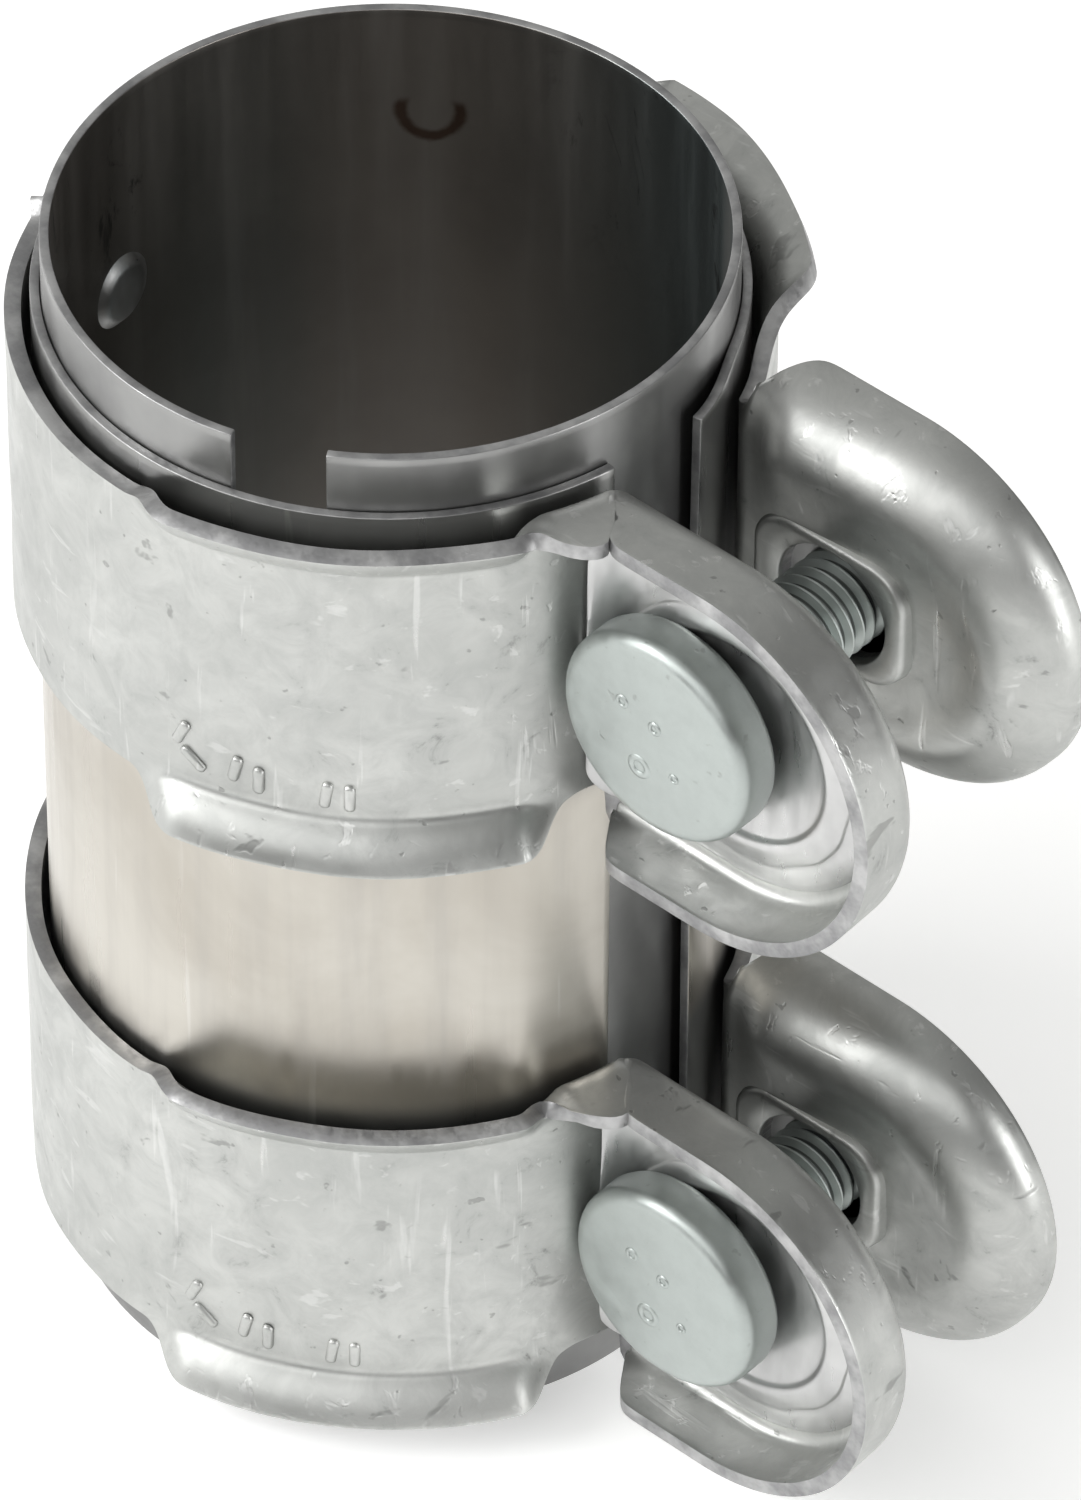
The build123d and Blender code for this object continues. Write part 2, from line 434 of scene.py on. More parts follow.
def outer_shell_material():
    """Rolled sheet with a warm oily film between the bands, drawn lengthwise, and painted shade where it runs
    in under the bands and their flared lips.
    """
    s = Shader("outer_shell_steel")
    cloud = s.noise(38, 5.0, 0.62, distortion=0.5)
    drawn = s.noise(240, 4.0, 0.6, s.stretched((1.0, 1.0, 0.06)))
    scuffs = s.scratches((1.0, 1.0, 0.05), 420, 0.64, 0.72)
    colour = s.mix(s.between(cloud, 0.3, 0.7), (0.475, 0.445, 0.395), (0.585, 0.56, 0.51))
    colour = s.mix(s.between(drawn, 0.45, 0.75, 0.0, 0.3), colour, (0.40, 0.385, 0.37))
    height = s.around()[1]
    # Painted shade: darker grey where the shell runs in under the bands and their flared lips.
    shade_under_bands = s.math("MAXIMUM", s.between(height, 0.078, 0.084), s.between(height, 0.044, 0.040))
    colour = s.mix(shade_under_bands, colour, (0.30, 0.30, 0.295))
    colour = s.mix(s.math("MULTIPLY", scuffs, 0.3), colour, (0.75, 0.74, 0.72))
    roughness = s.between(drawn, 0.3, 0.7, 0.26, 0.40)
    return s.done(colour, roughness, 0.95, s.bump(drawn, 0.012, 0.35))


def plate_material():
    """Insert plates: brighter drawn sheet with fine brushing."""
    s = Shader("plate_steel")
    cloud = s.noise(70, 4.0, 0.6)
    brushed = s.noise(700, 3.0, 0.6, s.stretched((1.0, 1.0, 0.15)))
    colour = s.mix(s.between(cloud, 0.3, 0.7), (0.52, 0.52, 0.52), (0.66, 0.66, 0.655))
    roughness = s.between(brushed, 0.3, 0.7, 0.27, 0.44)
    return s.done(colour, roughness, 0.95, s.bump(brushed, 0.02, 0.3))


def zinc_material(name, tint):
    """Electroplated zinc: slightly green-grey, fine mottling and small pits."""
    s = Shader(name)
    mottled = s.noise(330, 5.0, 0.65)
    pits = s.between(s.noise(620, 2.0, 0.5), 0.68, 0.76)
    crystals = s.cells(1500).outputs["Distance"]
    light = tuple(1.14 * c for c in tint)
    colour = s.mix(s.between(mottled, 0.3, 0.7), tint, light)
    colour = s.mix(s.math("MULTIPLY", pits, 0.45), colour, (0.30, 0.31, 0.30))
    roughness = s.between(mottled, 0.3, 0.7, 0.33, 0.50)
    normal = s.bump(crystals, 0.01, 0.25)
    normal = s.bump(s.math("MULTIPLY", pits, -1.0), 0.04, 0.5, normal)
    return s.done(colour, roughness, 0.85, normal)


BAND = band_material()
CUT = cut_edge_material()
INNER = inner_shell_material()
WRAP = outer_shell_material()
PLATE = plate_material()
BOLT = zinc_material("zinc_bolt", (0.435, 0.47, 0.455))
# Painted shade: a dark zinc for the thread's roots, standing in for the shade in the grooves.
THREAD_ROOT_SHADE = zinc_material("thread_root_shade", (0.17, 0.18, 0.175))
NUT = zinc_material("zinc_nut", (0.53, 0.555, 0.54))


# ---------------------------------------------------------------- sleeve


def shell(name, radius, low, high, slot, spring, material):
    """A slit tube of an outer radius. spring(azimuth, z) is how far the sheet stands off."""
    start, end = slot[1], slot[0] + 360
    azimuths = np.linspace(start, end, 241)
    below = np.linspace(low, low + 2, 3)
    between = np.linspace(low + 4, high - 4, 30)
    above = np.linspace(high - 2, high, 3)
    heights = np.concatenate([below, between, above])
    points = np.zeros((len(azimuths), len(heights), 3))
    for i, azimuth in enumerate(azimuths):
        for j, z in enumerate(heights):
            r = radius - SHELL_SHEET / 2 + spring(azimuth, z)
            a = radians(azimuth)
            points[i, j] = (r * cos(a), r * sin(a), z)
    bm = bmesh.new()
    add_grid(bm, points)
    obj = finish_mesh(name, bm, [material, CUT])
    return thicken(obj, SHELL_SHEET, 0.12)


def outer_spring(azimuth, z):
    """The outer shell's free edge stands off by about a millimetre, most at the ends."""
    middle = (WRAP_LOW.z + WRAP_HIGH.z) / 2
    near_edge = smooth((26.0 - azimuth) / 19.0)
    return near_edge * (0.85 + 0.35 * abs(z - middle) / 56.0)


def no_spring(azimuth, z):
    """The inner shell is held round by the outer one."""
    return 0.0


# ---------------------------------------------------------------- bands


def row_shares(flat_rows=26, edge_rows=26, flat_share=0.6):
    """Row places from a section's middle (0) to its edge (1), closer together towards the edge."""
    flat = np.linspace(0, flat_share, flat_rows, endpoint=False)
    edge = np.linspace(flat_share, 1, edge_rows)
    return np.concatenate([flat, edge])


ROWS = row_shares()


class Ear:
    """One ear: its D's centre, the middle of its floor's sheet, the side its mouth faces, its depth,
    its corner radius and its floor's tilt."""

    def __init__(self, centre, floor_mid, outward, depth, corner, tilt=0.0):
        self.centre = centre
        self.floor = floor_mid
        self.outward = outward
        self.depth = depth
        self.corner = corner
        self.tilt = tilt
        self.flat = EAR_RADIUS - corner
        self.turn = pi / 2 * corner
        self.length = self.flat + self.turn + depth - corner
        self.bend_y = floor_mid + outward * ROOT_BEND
        self.bend_x = sqrt((BAND_RADIUS + ROOT_BEND) ** 2 - self.bend_y**2)
        self.root_azimuth = degrees(atan2(self.bend_y, self.bend_x))

    def section(self, s):
        """(across, outward) at a length s along the section from its middle."""
        s = np.asarray(s, float)
        angle = np.clip((s - self.flat) / self.corner, 0, pi / 2)
        wall = np.clip(s - self.flat - self.turn, 0, None)
        across = np.minimum(s, self.flat) + self.corner * np.sin(angle) + 0.03 * wall
        return across, self.corner * (1 - np.cos(angle)) + wall

    def length_for(self, reach):
        """Half the section's length that takes its edge to a given reach from the floor."""
        if reach >= self.corner:
            return self.flat + self.turn + reach - self.corner
        return self.flat + self.corner * acos(1 - max(reach, 0.02) / self.corner)

    def half_length(self, x):
        """Half the section's length at a place x along the ear's root, where the wall ends in a slant."""
        reach = ROOT_REACH + (x - self.bend_x) * WALL_SLANT
        over = 0.8
        reach = reach if reach < 0 else self.depth - over * log1p(exp((self.depth - reach) / over))
        soft_top = self.depth - over * log1p(exp(-4.0 / over))
        return self.length_for(min(max(reach, ROOT_REACH), soft_top) + (self.depth - soft_top))


def lip_section(s, share, which):
    """(across, outward) on the band's section: flat, then bent outwards and rolled part of the way back."""
    s = np.asarray(s, float)
    flare = LIP_FLARE[which] * max(share, 1e-4)
    bend = LIP_BEND[which]
    radius = bend / flare
    beyond = np.clip(s - LIP_START, 0, None)
    angle = flare * np.minimum(beyond, bend) / bend
    across = np.minimum(s, LIP_START) + radius * np.sin(angle)
    outward = radius * (1 - np.cos(angle))
    rolled = np.clip(beyond - bend, 0, None)
    back = LIP_ROLL_BACK[which] * flare
    turn = flare - back * np.minimum(rolled, LIP_ROLL) / LIP_ROLL
    arc = LIP_ROLL / back
    rest = np.clip(rolled - LIP_ROLL, 0, None)
    across = across + arc * (sin(flare) - np.sin(turn)) + rest * cos(flare - back)
    outward = outward + arc * (np.cos(turn) - cos(flare)) + rest * sin(flare - back)
    return across, outward


def lip_share(azimuth):
    """1 where the band's edge is flared, 0 where it is plain. The rear lip opens wider at its far end."""
    front = smooth((-21.0 - azimuth) / 9.0) * smooth((azimuth + 91.0) / 12.0)
    rear = smooth((azimuth - 28.0) / 19.0) * smooth((97.0 - azimuth) / 7.0)
    rear = rear * (1.0 + 0.10 * float(smooth((azimuth - 58.0) / 22.0)))
    return float(max(front, rear))


def band_half(azimuth, rear):
    """Half the band's width along its sheet, at an azimuth."""
    past_notch = azimuth + 24.0 if azimuth < 0 else rear.root_azimuth + 10.0 - azimuth
    notch = float(smooth(past_notch / 6.0)) if abs(azimuth) < 60 else 0.0
    share = min(lip_share(azimuth), 1.2)
    return BAND_HALF + LIP_GAIN * share - (BAND_HALF - NOTCH_HALF) * notch


def gusset(ear, azimuth):
    """Reach of the flange in the corner above the band, where its lip runs into the ear's upper wall."""
    away = azimuth * ear.outward - abs(ear.root_azimuth)
    rising = min(1.9 + 1.15 * away, 2.6 + 0.82 * away)
    falling = 7.4 - 4.2 * float(smooth((away - 6.5) / 9.0))
    return min(rising, falling)


def half_column(ear, azimuth, side):
    """(across, outward) of the band's section on one side of its middle, side being +1 for the upper one."""
    length = band_half(azimuth, ear)
    across, outward = lip_section(ROWS * length, lip_share(azimuth), "front" if azimuth < 0 else "rear")
    away = azimuth * ear.outward - abs(ear.root_azimuth)
    gusset_end = 17.0
    if side > 0 and ear.outward < 0 and 0 <= away < gusset_end:
        corner_across, corner_outward = ear.section(ROWS * ear.length_for(gusset(ear, azimuth)))
        mix = float(smooth((gusset_end - away) / 7.0))
        across = across + (corner_across - across) * mix
        outward = outward + (corner_outward - outward) * mix
    return across, outward


def column(x, y, nx, ny, z, lower, upper):
    """A section placed at (x, y), its outward side along (nx, ny), from its lower edge to its upper one."""
    across = np.concatenate([-lower[0][:0:-1], upper[0]])
    outward = np.concatenate([lower[1][:0:-1], upper[1]])
    return np.stack([x + nx * outward, y + ny * outward, z + across], axis=1)


def ear_columns(ear, z):
    """The straight part of an ear, from its round end back to its root, and the bend into the band."""
    columns = []
    slant_start = 46.0
    for x in np.concatenate([np.linspace(ear.centre, 44.0, 17), np.linspace(43.6, ear.bend_x, 22)]):
        length = ear.half_length(x) if x < slant_start else ear.length
        half = ear.section(ROWS * min(length, ear.length))
        columns.append(column(x, ear.floor, 0, ear.outward, z, half, half))
    root_length = min(ear.half_length(ear.bend_x), ear.length)
    sweep_start = radians(-90) * ear.outward
    sweep = radians(ear.root_azimuth + 180) - sweep_start
    sweep = (sweep + pi) % (2 * pi) - pi
    inner = ear.section(ROWS * root_length)
    for share in np.linspace(0, 1, 9)[1:-1]:
        angle = sweep_start + sweep * share
        mix = float(smooth(share))
        sides = []
        for side in (-1, 1):
            far = half_column(ear, ear.root_azimuth, side)
            sides.append((inner[0] + (far[0] - inner[0]) * mix, inner[1] + (far[1] - inner[1]) * mix))
        x = ear.bend_x + ROOT_BEND * cos(angle)
        y = ear.bend_y + ROOT_BEND * sin(angle)
        columns.append(column(x, y, -cos(angle), -sin(angle), z, *sides))
    return columns


def ear_end(ear, z):
    """The ear's round end, its section turned about the centre of the D."""
    across, outward = ear.section(ROWS * ear.length)
    angles = np.linspace(pi / 2, -pi / 2, 65)
    points = np.zeros((len(angles), len(ROWS), 3))
    for i, angle in enumerate(angles):
        points[i, :, 0] = ear.centre + across * cos(angle)
        points[i, :, 1] = ear.floor + ear.outward * outward
        points[i, :, 2] = z + across * sin(angle)
    return points


def lean(tilt, level, x, z):
    """How far a floor tilted about the bolt stands off its plane."""
    return ((x - level.bolt_x) * 0.8 - (z - level.z) * 0.6) * tilt


def shape_floor(ear, level, points):
    """Tilts the rear ear's floor a little and presses a bead round it, towards the gap."""
    x, y, z = points[..., 0], points[..., 1], points[..., 2]
    depth = np.clip(ear.outward * (y - ear.floor), 0, ear.depth)
    near_floor = smooth((ear.depth - 1.0 - depth) / (ear.depth - 1.0))
    fade = smooth((x - ear.bend_x) / 6.0)
    from_centre = np.hypot(np.maximum(x - ear.centre, 0), z - level.z)
    bead = -0.85 * ear.outward * np.exp(-(((from_centre - 13.6) / 2.9) ** 2))
    points[..., 1] = y + (lean(ear.tilt, level, x, z) + bead) * near_floor * fade
    return points


def pad_mesh(level, ear):
    """The raised pad round the bolt's hole, on the gap's side of the rear ear."""
    top = ear.floor - ear.outward * (SHEET / 2 + PAD_RISE)
    half_width, half_height, corner = 9.2, 7.3, 4.6
    inner_part, shift = 7.0, -0.6
    spokes = []
    for angle in np.linspace(0, 2 * pi, 145)[:-1]:
        out = rounded_box_radius(angle, half_width, half_height, corner)
        outline = [(HOLE_RADIUS, 2.4), (HOLE_RADIUS, 0.25), (HOLE_RADIUS + 0.2, 0.0)]
        outline += [(out - 0.9, 0.0), (out - 0.4, 0.12), (out - 0.1, 0.4), (out, 0.9), (out + 0.2, 2.4)]
        spoke = []
        for r, h in outline:
            x = level.bolt_x + (shift if r > inner_part else 0) + r * cos(angle)
            spoke.append((x, top + ear.outward * h, level.z + r * sin(angle)))
        spokes.append(spoke)
    bm = bmesh.new()
    add_grid(bm, np.array(spokes), wrap_columns=True)
    close_ends(bm)
    return bm


def dimple(azimuth, z, level_z):
    """The pressed clinch button that fixes the band to the sleeve, opposite the ears."""
    run = radians((azimuth - BUTTON_AZIMUTH + 180) % 360 - 180) * BAND_RADIUS
    away = np.sqrt(run**2 + (z - level_z - BUTTON_RISE) ** 2)
    depth, radius, slope = 0.9, 5.0, 1.6
    return -depth * smooth((radius - away) / slope)


def with_burr(half, azimuth):
    """A small torn burr that stands up from the upper band's edge."""
    height = 1.5 * exp(-(((azimuth + 160.0) / 1.1) ** 2)) + 0.35 * exp(-(((azimuth + 163.5) / 1.4) ** 2))
    share = np.clip((ROWS - 0.93) / 0.07, 0, 1) ** 2
    return half[0] + height * share, half[1] + 0.5 * height * share


def band_mesh(level, front, rear):
    """The whole band with both ears as one sheet."""
    z = level.z
    strip = ear_columns(front, z)
    for azimuth in np.linspace(front.root_azimuth, rear.root_azimuth - 360, 401):
        real = azimuth if azimuth > -180 else azimuth + 360
        ear = front if real < 0 else rear
        a = radians(azimuth)
        x, y = BAND_RADIUS * cos(a), BAND_RADIUS * sin(a)
        sides = [half_column(ear, real, side) for side in (-1, 1)]
        if level.name == "upper":
            sides[1] = with_burr(sides[1], real)
        placed = column(x, y, cos(a), sin(a), z, *sides)
        shift = dimple(azimuth, placed[:, 2], z) + waviness(placed[:, 0], placed[:, 1], placed[:, 2])
        placed[:, 0] += cos(a) * shift
        placed[:, 1] += sin(a) * shift
        strip.append(placed)
    rear_columns = ear_columns(rear, z)[::-1]
    strip = np.array(strip + rear_columns)
    straight = len(rear_columns)
    strip[-straight:] = shape_floor(rear, level, strip[-straight:])
    bm = bmesh.new()
    add_grid(bm, strip)
    add_grid(bm, ear_end(front, z))
    add_grid(bm, shape_floor(rear, level, ear_end(rear, z)))
    bmesh.ops.remove_doubles(bm, verts=bm.verts, dist=0.02)
    bmesh.ops.recalc_face_normals(bm, faces=bm.faces)
    return bm


def cut_round_hole(obj, x, y, z, radius, length):
    """Cuts a round hole along Y."""
    bm = bmesh.new()
    loops = []
    for a in np.linspace(0, 2 * pi, 97)[:-1]:
        loops.append([(x + radius * cos(a), y + d, z + radius * sin(a)) for d in (-length / 2, length / 2)])
    add_grid(bm, np.array(loops), wrap_columns=True)
    close_ends(bm)
    cutter = finish_mesh(obj.name + "_cutter", bm, CUT)
    cut = obj.modifiers.new("hole", "BOOLEAN")
    cut.object = cutter
    cut.solver = "EXACT"
    apply_modifiers(obj)
    bpy.data.objects.remove(cutter)


def rounded_box_radius(angle, half_width, half_height, corner):
    """Distance from the centre to the edge of a rounded rectangle, in the direction of an angle."""
    c, s = abs(cos(angle)), abs(sin(angle))
    low, high = 0.0, half_width + half_height
    for _ in range(30):
        middle = (low + high) / 2
        dx = max(middle * c - (half_width - corner), 0.0)
        dz = max(middle * s - (half_height - corner), 0.0)
        in_box = middle * c <= half_width and middle * s <= half_height
        inside = in_box and dx * dx + dz * dz <= corner * corner
        low, high = (middle, high) if inside else (low, middle)
    return low


def mark_bar(bm, azimuth, z, tilt, length, width, radius, proud=0.32):
    """A small raised bar on the band's face, a plain batch mark."""
    steps = 20
    rings = []
    for rise, shrink in ((-0.3, 0.0), (0.4, 0.05), (0.8, 0.3), (1.0, 0.62), (1.02, 0.98)):
        ring = []
        for i in range(steps):
            t = 2 * pi * i / steps
            u = (length / 2 - width / 2) * (1 if cos(t) > 0 else -1) + width / 2 * cos(t) * (1 - shrink)
            v = width / 2 * sin(t) * (1 - shrink)
            run = u * sin(radians(tilt)) + v * cos(radians(tilt))
            up = u * cos(radians(tilt)) - v * sin(radians(tilt))
            a = radians(azimuth) + run / radius
            r = radius + rise * proud
            ring.append((r * cos(a), r * sin(a), z + up))
        rings.append(ring)
    points = np.array(rings).transpose(1, 0, 2)
    add_grid(bm, points, wrap_columns=True)


def join(target, *others):
    """Joins meshes into one object."""
    with bpy.context.temp_override(active_object=target, selected_editable_objects=[target, *others]):
        bpy.ops.object.join()
    return target


def batch_marks(level):
    """A pointer and two pairs of bars near the band's lower edge, as (azimuth, drop, tilt) each."""
    pointer = ((-80.5, 9.4, 24), (-78.5, 12.2, -50))
    pairs = ((-71.5, 11.6, 12), (-67.8, 12.3, 0), (-57.5, 12.6, 8), (-54.0, 12.8, 0))
    bm = bmesh.new()
    for azimuth, drop, tilt in pointer + pairs:
        mark_bar(bm, azimuth, level.z - drop, tilt, 3.2, 1.15, BAND_RADIUS + SHEET / 2)
    close_ends(bm)
    return finish_mesh(level.name + "_marks", bm, [BAND, CUT], 60)


def make_band(level):
    """One band with its two ears, the pad round the bolt's hole and the batch marks."""
    front_floor, rear_floor = level.front_floor + SHEET / 2, level.rear_floor - SHEET / 2
    front = Ear(FRONT_CENTRE_X, front_floor, -1, FRONT_DEPTH, FRONT_CORNER)
    rear = Ear(REAR_CENTRE_X, rear_floor, 1, REAR_DEPTH, REAR_CORNER, REAR_TILT)
    body = finish_mesh(level.name + "_band_piece", band_mesh(level, front, rear), [BAND, CUT])
    thicken(body, SHEET, 0.16)
    cut_round_hole(body, level.bolt_x, level.rear_floor, level.z, HOLE_RADIUS, 8.0)
    body.data.set_sharp_from_angle(angle=radians(50))
    marks = batch_marks(level)
    pad = finish_mesh(level.name + "_pad", pad_mesh(level, rear), [BAND, CUT], 60)
    join(body, marks, pad)
    return register(body, "root", "band_steel", level.name + "_band")


# ---------------------------------------------------------------- insert plates


# The insert plate's face as (radius, height over the ear's floor): bowl, round lip, flat ring and step.
PLATE_BOWL = [(r, 0.15 + 1.0 * (r / 10.9) ** 2.2) for r in (0.01, 2.0, 4.0, 6.0, 7.5, 8.8, 9.8, 10.5, 10.9)]
PLATE_LIP = [(11.15, 1.28), (11.35, 1.5), (11.55, 1.66), (11.85, 1.74), (12.2, 1.72), (12.6, 1.64)]
PLATE_STEP = [(13.1, 1.52), (13.6, 1.38), (13.95, 1.28), (14.1, 1.22), (14.2, 1.1), (14.32, 1.04)]
PLATE_RINGS = PLATE_BOWL + PLATE_LIP + PLATE_STEP
# Its flange, as (share of the way from the step to the plate's edge, height)
PLATE_FLANGE = ((0.15, 1.0), (0.4, 0.88), (0.65, 0.76), (0.82, 0.64), (0.92, 0.50), (0.98, 0.28), (1.0, -0.2))


def plate_edge(angle, start_x):
    """Distance from the D's centre to the insert plate's edge, a half round with a square-cut foot."""
    foot_edge = rounded_box_radius(angle, FRONT_CENTRE_X - start_x, PLATE_RADIUS, PLATE_CORNER)
    return max(PLATE_RADIUS if cos(angle) > 0 else foot_edge, PLATE_RINGS[-1][0] + 0.1)


def plate_points(angle, start_x):
    """One spoke of the insert plate's face, as (radius, height)."""
    edge = plate_edge(angle, start_x)
    wave = 0.08 * sin(9 * angle + 0.6) + 0.05 * sin(17 * angle + 2.0)
    spoke = []
    for r, height in PLATE_RINGS:
        on_step = float(smooth((r - 13.3) / 0.8))
        spoke.append((r + wave * on_step, height))
    last = spoke[-1][0]
    for share, height in PLATE_FLANGE:
        spoke.append((last + (edge - last) * share, height))
    return spoke


def insert_plate(level, floor, outward, tilt, start_x, foot, name):
    """A dished D-shaped plate in an ear's cup. Its rim follows the floor's tilt, and its foot, from
    PLATE_BEND_X back to start_x, bends up along the band by the height foot."""
    spokes = []
    for angle in np.linspace(-pi, pi, 289)[:-1]:
        spoke = []
        for r, height in plate_points(angle, start_x):
            x, z = FRONT_CENTRE_X + r * cos(angle), level.z + r * sin(angle)
            if height > 0:
                height += foot * (max(PLATE_BEND_X - x, 0) / (PLATE_BEND_X - start_x)) ** 1.4
            tilted = lean(tilt, level, x, z) * float(smooth((r - 9.0) / 4.0))
            spoke.append((x, floor + outward * height + tilted, z))
        spokes.append(spoke)
    bm = bmesh.new()
    add_grid(bm, np.array(spokes), wrap_columns=True)
    close_ends(bm)
    obj = finish_mesh(name + "_piece", bm, PLATE, 40)
    return register(obj, "root", "plate_steel", name)


# ---------------------------------------------------------------- fasteners


def thread_radius_at(share):
    """Radius over one pitch of a metric thread: flat root, flank, narrow crest, flank."""
    root = BOLT_RADIUS - THREAD_DEPTH
    root_end, flank, crest_end = 0.16, 0.36, 0.64
    if share < root_end:
        return root
    if share < root_end + flank:
        return root + THREAD_DEPTH * (share - root_end) / flank
    if share < crest_end:
        return BOLT_RADIUS
    return BOLT_RADIUS - THREAD_DEPTH * (share - crest_end) / flank


def threaded_rod(bm, level, start, end):
    """A right-hand helical thread between two y coordinates, its roots in the second material, a dark one
    that paints the shade in the grooves.
    """
    around, per_turn = 64, 12
    rows = int((end - start) / THREAD_PITCH * per_turn) + per_turn + 1
    verts = []
    for i in range(around):
        turn = i / around
        line = []
        for m in range(rows):
            y = start + THREAD_PITCH * (m / per_turn - 1 + turn)
            radius = thread_radius_at((m % per_turn) / per_turn)
            y = min(max(y, start), end)
            radius = min(radius, BOLT_RADIUS - 0.9 + end - y)
            angle = 2 * pi * turn
            line.append(bm.verts.new((level.bolt_x + radius * sin(angle), y, level.z + radius * cos(angle))))
        verts.append(line)
    for i in range(around):
        following = verts[(i + 1) % around]
        shift = per_turn if i == around - 1 else 0
        for m in range(rows - 1):
            if m + 1 + shift < rows:
                corners = (verts[i][m], following[m + shift], following[m + 1 + shift], verts[i][m + 1])
                face = bm.faces.new(corners)
                # Root rows get the dark second material: painted shade in the grooves.
                face.material_index = int(m % per_turn < 3 or m % per_turn > 10)
    bmesh.ops.remove_doubles(bm, verts=bm.verts, dist=0.0005)


def head_profile(level, seat):
    """The bolt head's outline, from its face's centre to its tapered underside."""
    face, radius = level.head_face, level.head_radius
    dome, edge = 0.35, 1.5
    points = [(0.001, face)]
    for r in np.linspace(1.5, radius - edge, 8):
        points.append((r, face + dome * (r / radius) ** 2))
    base = face + dome * ((radius - edge) / radius) ** 2
    for t in np.linspace(0, pi / 2, 9)[1:]:
        points.append((radius - edge + edge * sin(t), base + edge * (1 - cos(t))))
    points += [(radius, seat - 1.5), (radius - 0.25, seat - 0.9), (radius - 1.5, seat - 0.2)]
    return points + [(6.0, seat), (0.001, seat)]


def head_marks(level):
    """Plain raised dots and a ring on the head, in place of any makers' or grade marks."""
    bm = bmesh.new()
    for dx, dz, size in ((-3.4, 3.2, 0.75), (0.6, 2.2, 0.75), (-1.2, -3.6, 1.3), (3.0, -2.6, 0.55)):
        top = level.head_face + 0.35 * ((dx * dx + dz * dz) / level.head_radius**2)
        ring = [(size * 0.45, top + 0.05), (size * 0.5, top - 0.10), (size * 0.75, top - 0.16)]
        ring += [(size, top - 0.08), (size * 1.1, top + 0.1)]
        lathe(bm, ring, on_bolt_axis(level, dx, dz), 28)
    close_ends(bm)
    return finish_mesh(level.name + "_head_marks", bm, BOLT, 60)


def square_neck(level, seat):
    """The square neck under the head, tapering into the thread."""
    bm = bmesh.new()
    rings = []
    steps = 64
    for i in range(steps):
        angle = 2 * pi * i / steps
        out = rounded_box_radius(angle, BOLT_RADIUS, BOLT_RADIUS, NECK_CORNER)
        ring = [(out, seat - 0.1), (out, seat + NECK_LENGTH), (BOLT_RADIUS * 0.9, seat + NECK_LENGTH + 1.2)]
        rings.append([(level.bolt_x + r * cos(angle), y, level.z + r * sin(angle)) for r, y in ring])
    add_grid(bm, np.array(rings), wrap_columns=True)
    close_ends(bm)
    return finish_mesh(level.name + "_neck", bm, BOLT, 40)


def thread_core(level, start):
    """The solid rod inside the thread, with the bolt's flat tip."""
    root, tip = BOLT_RADIUS - THREAD_DEPTH - 0.01, level.bolt_tip
    outline = [(0.001, start), (root, start), (root, tip - 0.1), (root + 0.06, tip), (0.001, tip)]
    bm = bmesh.new()
    lathe(bm, outline, on_bolt_axis(level), 64)
    close_ends(bm)
    return finish_mesh(level.name + "_core", bm, BOLT, 35)


def make_bolt(level):
    """One bolt: head with its marks, square neck, thread and core."""
    seat = level.head_seat
    bm = bmesh.new()
    lathe(bm, head_profile(level, seat), on_bolt_axis(level), 128)
    close_ends(bm)
    head = finish_mesh(level.name + "_bolt_piece", bm, [BOLT, THREAD_ROOT_SHADE], 50)
    marks = head_marks(level)
    neck = square_neck(level, seat)
    rod = bmesh.new()
    threaded_rod(rod, level, seat + NECK_LENGTH + 0.4, level.bolt_tip)
    close_ends(rod)
    thread = finish_mesh(level.name + "_thread", rod, [BOLT, THREAD_ROOT_SHADE], 35)
    join(head, marks, neck, thread, thread_core(level, seat + 5.0))
    return register(head, "root", "zinc_bolt", level.name + "_bolt")


def make_nut(level):
    """A hexagon nut with turned corners and a chamfered bore."""
    near, far = level.nut
    flats = level.nut_flats / 2
    crown, bore, mouth = flats * 0.97, BOLT_RADIUS + 0.05, BOLT_RADIUS + 0.6
    slope = tan(radians(30))
    bm = bmesh.new()
    steps = 192
    points = []
    for i in range(steps):
        angle = 2 * pi * i / steps + pi / 2
        sector = (angle - pi / 2 + pi / 6) % (pi / 3) - pi / 6
        out = min(flats / cos(sector), flats / cos(pi / 6) - 0.25)
        drop = max(out - crown, 0.0) * slope + 0.02
        ring = [(bore, near + 0.6), (mouth, near), (crown, near), (out, near + drop)]
        ring += [(out, far - drop), (crown, far), (mouth, far), (bore, far - 0.6)]
        points.append([(level.bolt_x + r * cos(angle), y, level.z + r * sin(angle)) for r, y in ring])
    add_grid(bm, np.array(points), wrap_columns=True, wrap_rows=True)
    bmesh.ops.recalc_face_normals(bm, faces=bm.faces)
    obj = finish_mesh(level.name + "_nut_piece", bm, NUT, 25)
    soft = obj.modifiers.new("soft", "BEVEL")
    soft.width = 0.12 * MM
    soft.segments = 2
    soft.limit_method = "ANGLE"
    soft.angle_limit = radians(40)
    apply_modifiers(obj)
    return register(obj, level.name + "_nut", "zinc_nut", level.name + "_nut")


def make_washer(level):
    """A plain washer with softened edges."""
    near, far = level.washer
    inner, outer, edge = 5.25, level.washer_radius, 0.25
    profile = [(inner, near + edge), (inner + edge, near), (outer - edge, near), (outer, near + edge)]
    profile += [(outer, far - edge), (outer - edge, far), (inner + edge, far), (inner, far - edge)]
    bm = bmesh.new()
    place = on_bolt_axis(level)
    points = np.array([[place(r, 2 * pi * i / 96, y) for r, y in profile] for i in range(96)])
    add_grid(bm, points, wrap_columns=True, wrap_rows=True)
    bmesh.ops.recalc_face_normals(bm, faces=bm.faces)
    obj = finish_mesh(level.name + "_washer_piece", bm, NUT, 35)
    return register(obj, level.name + "_washer", "zinc_nut", level.name + "_washer")


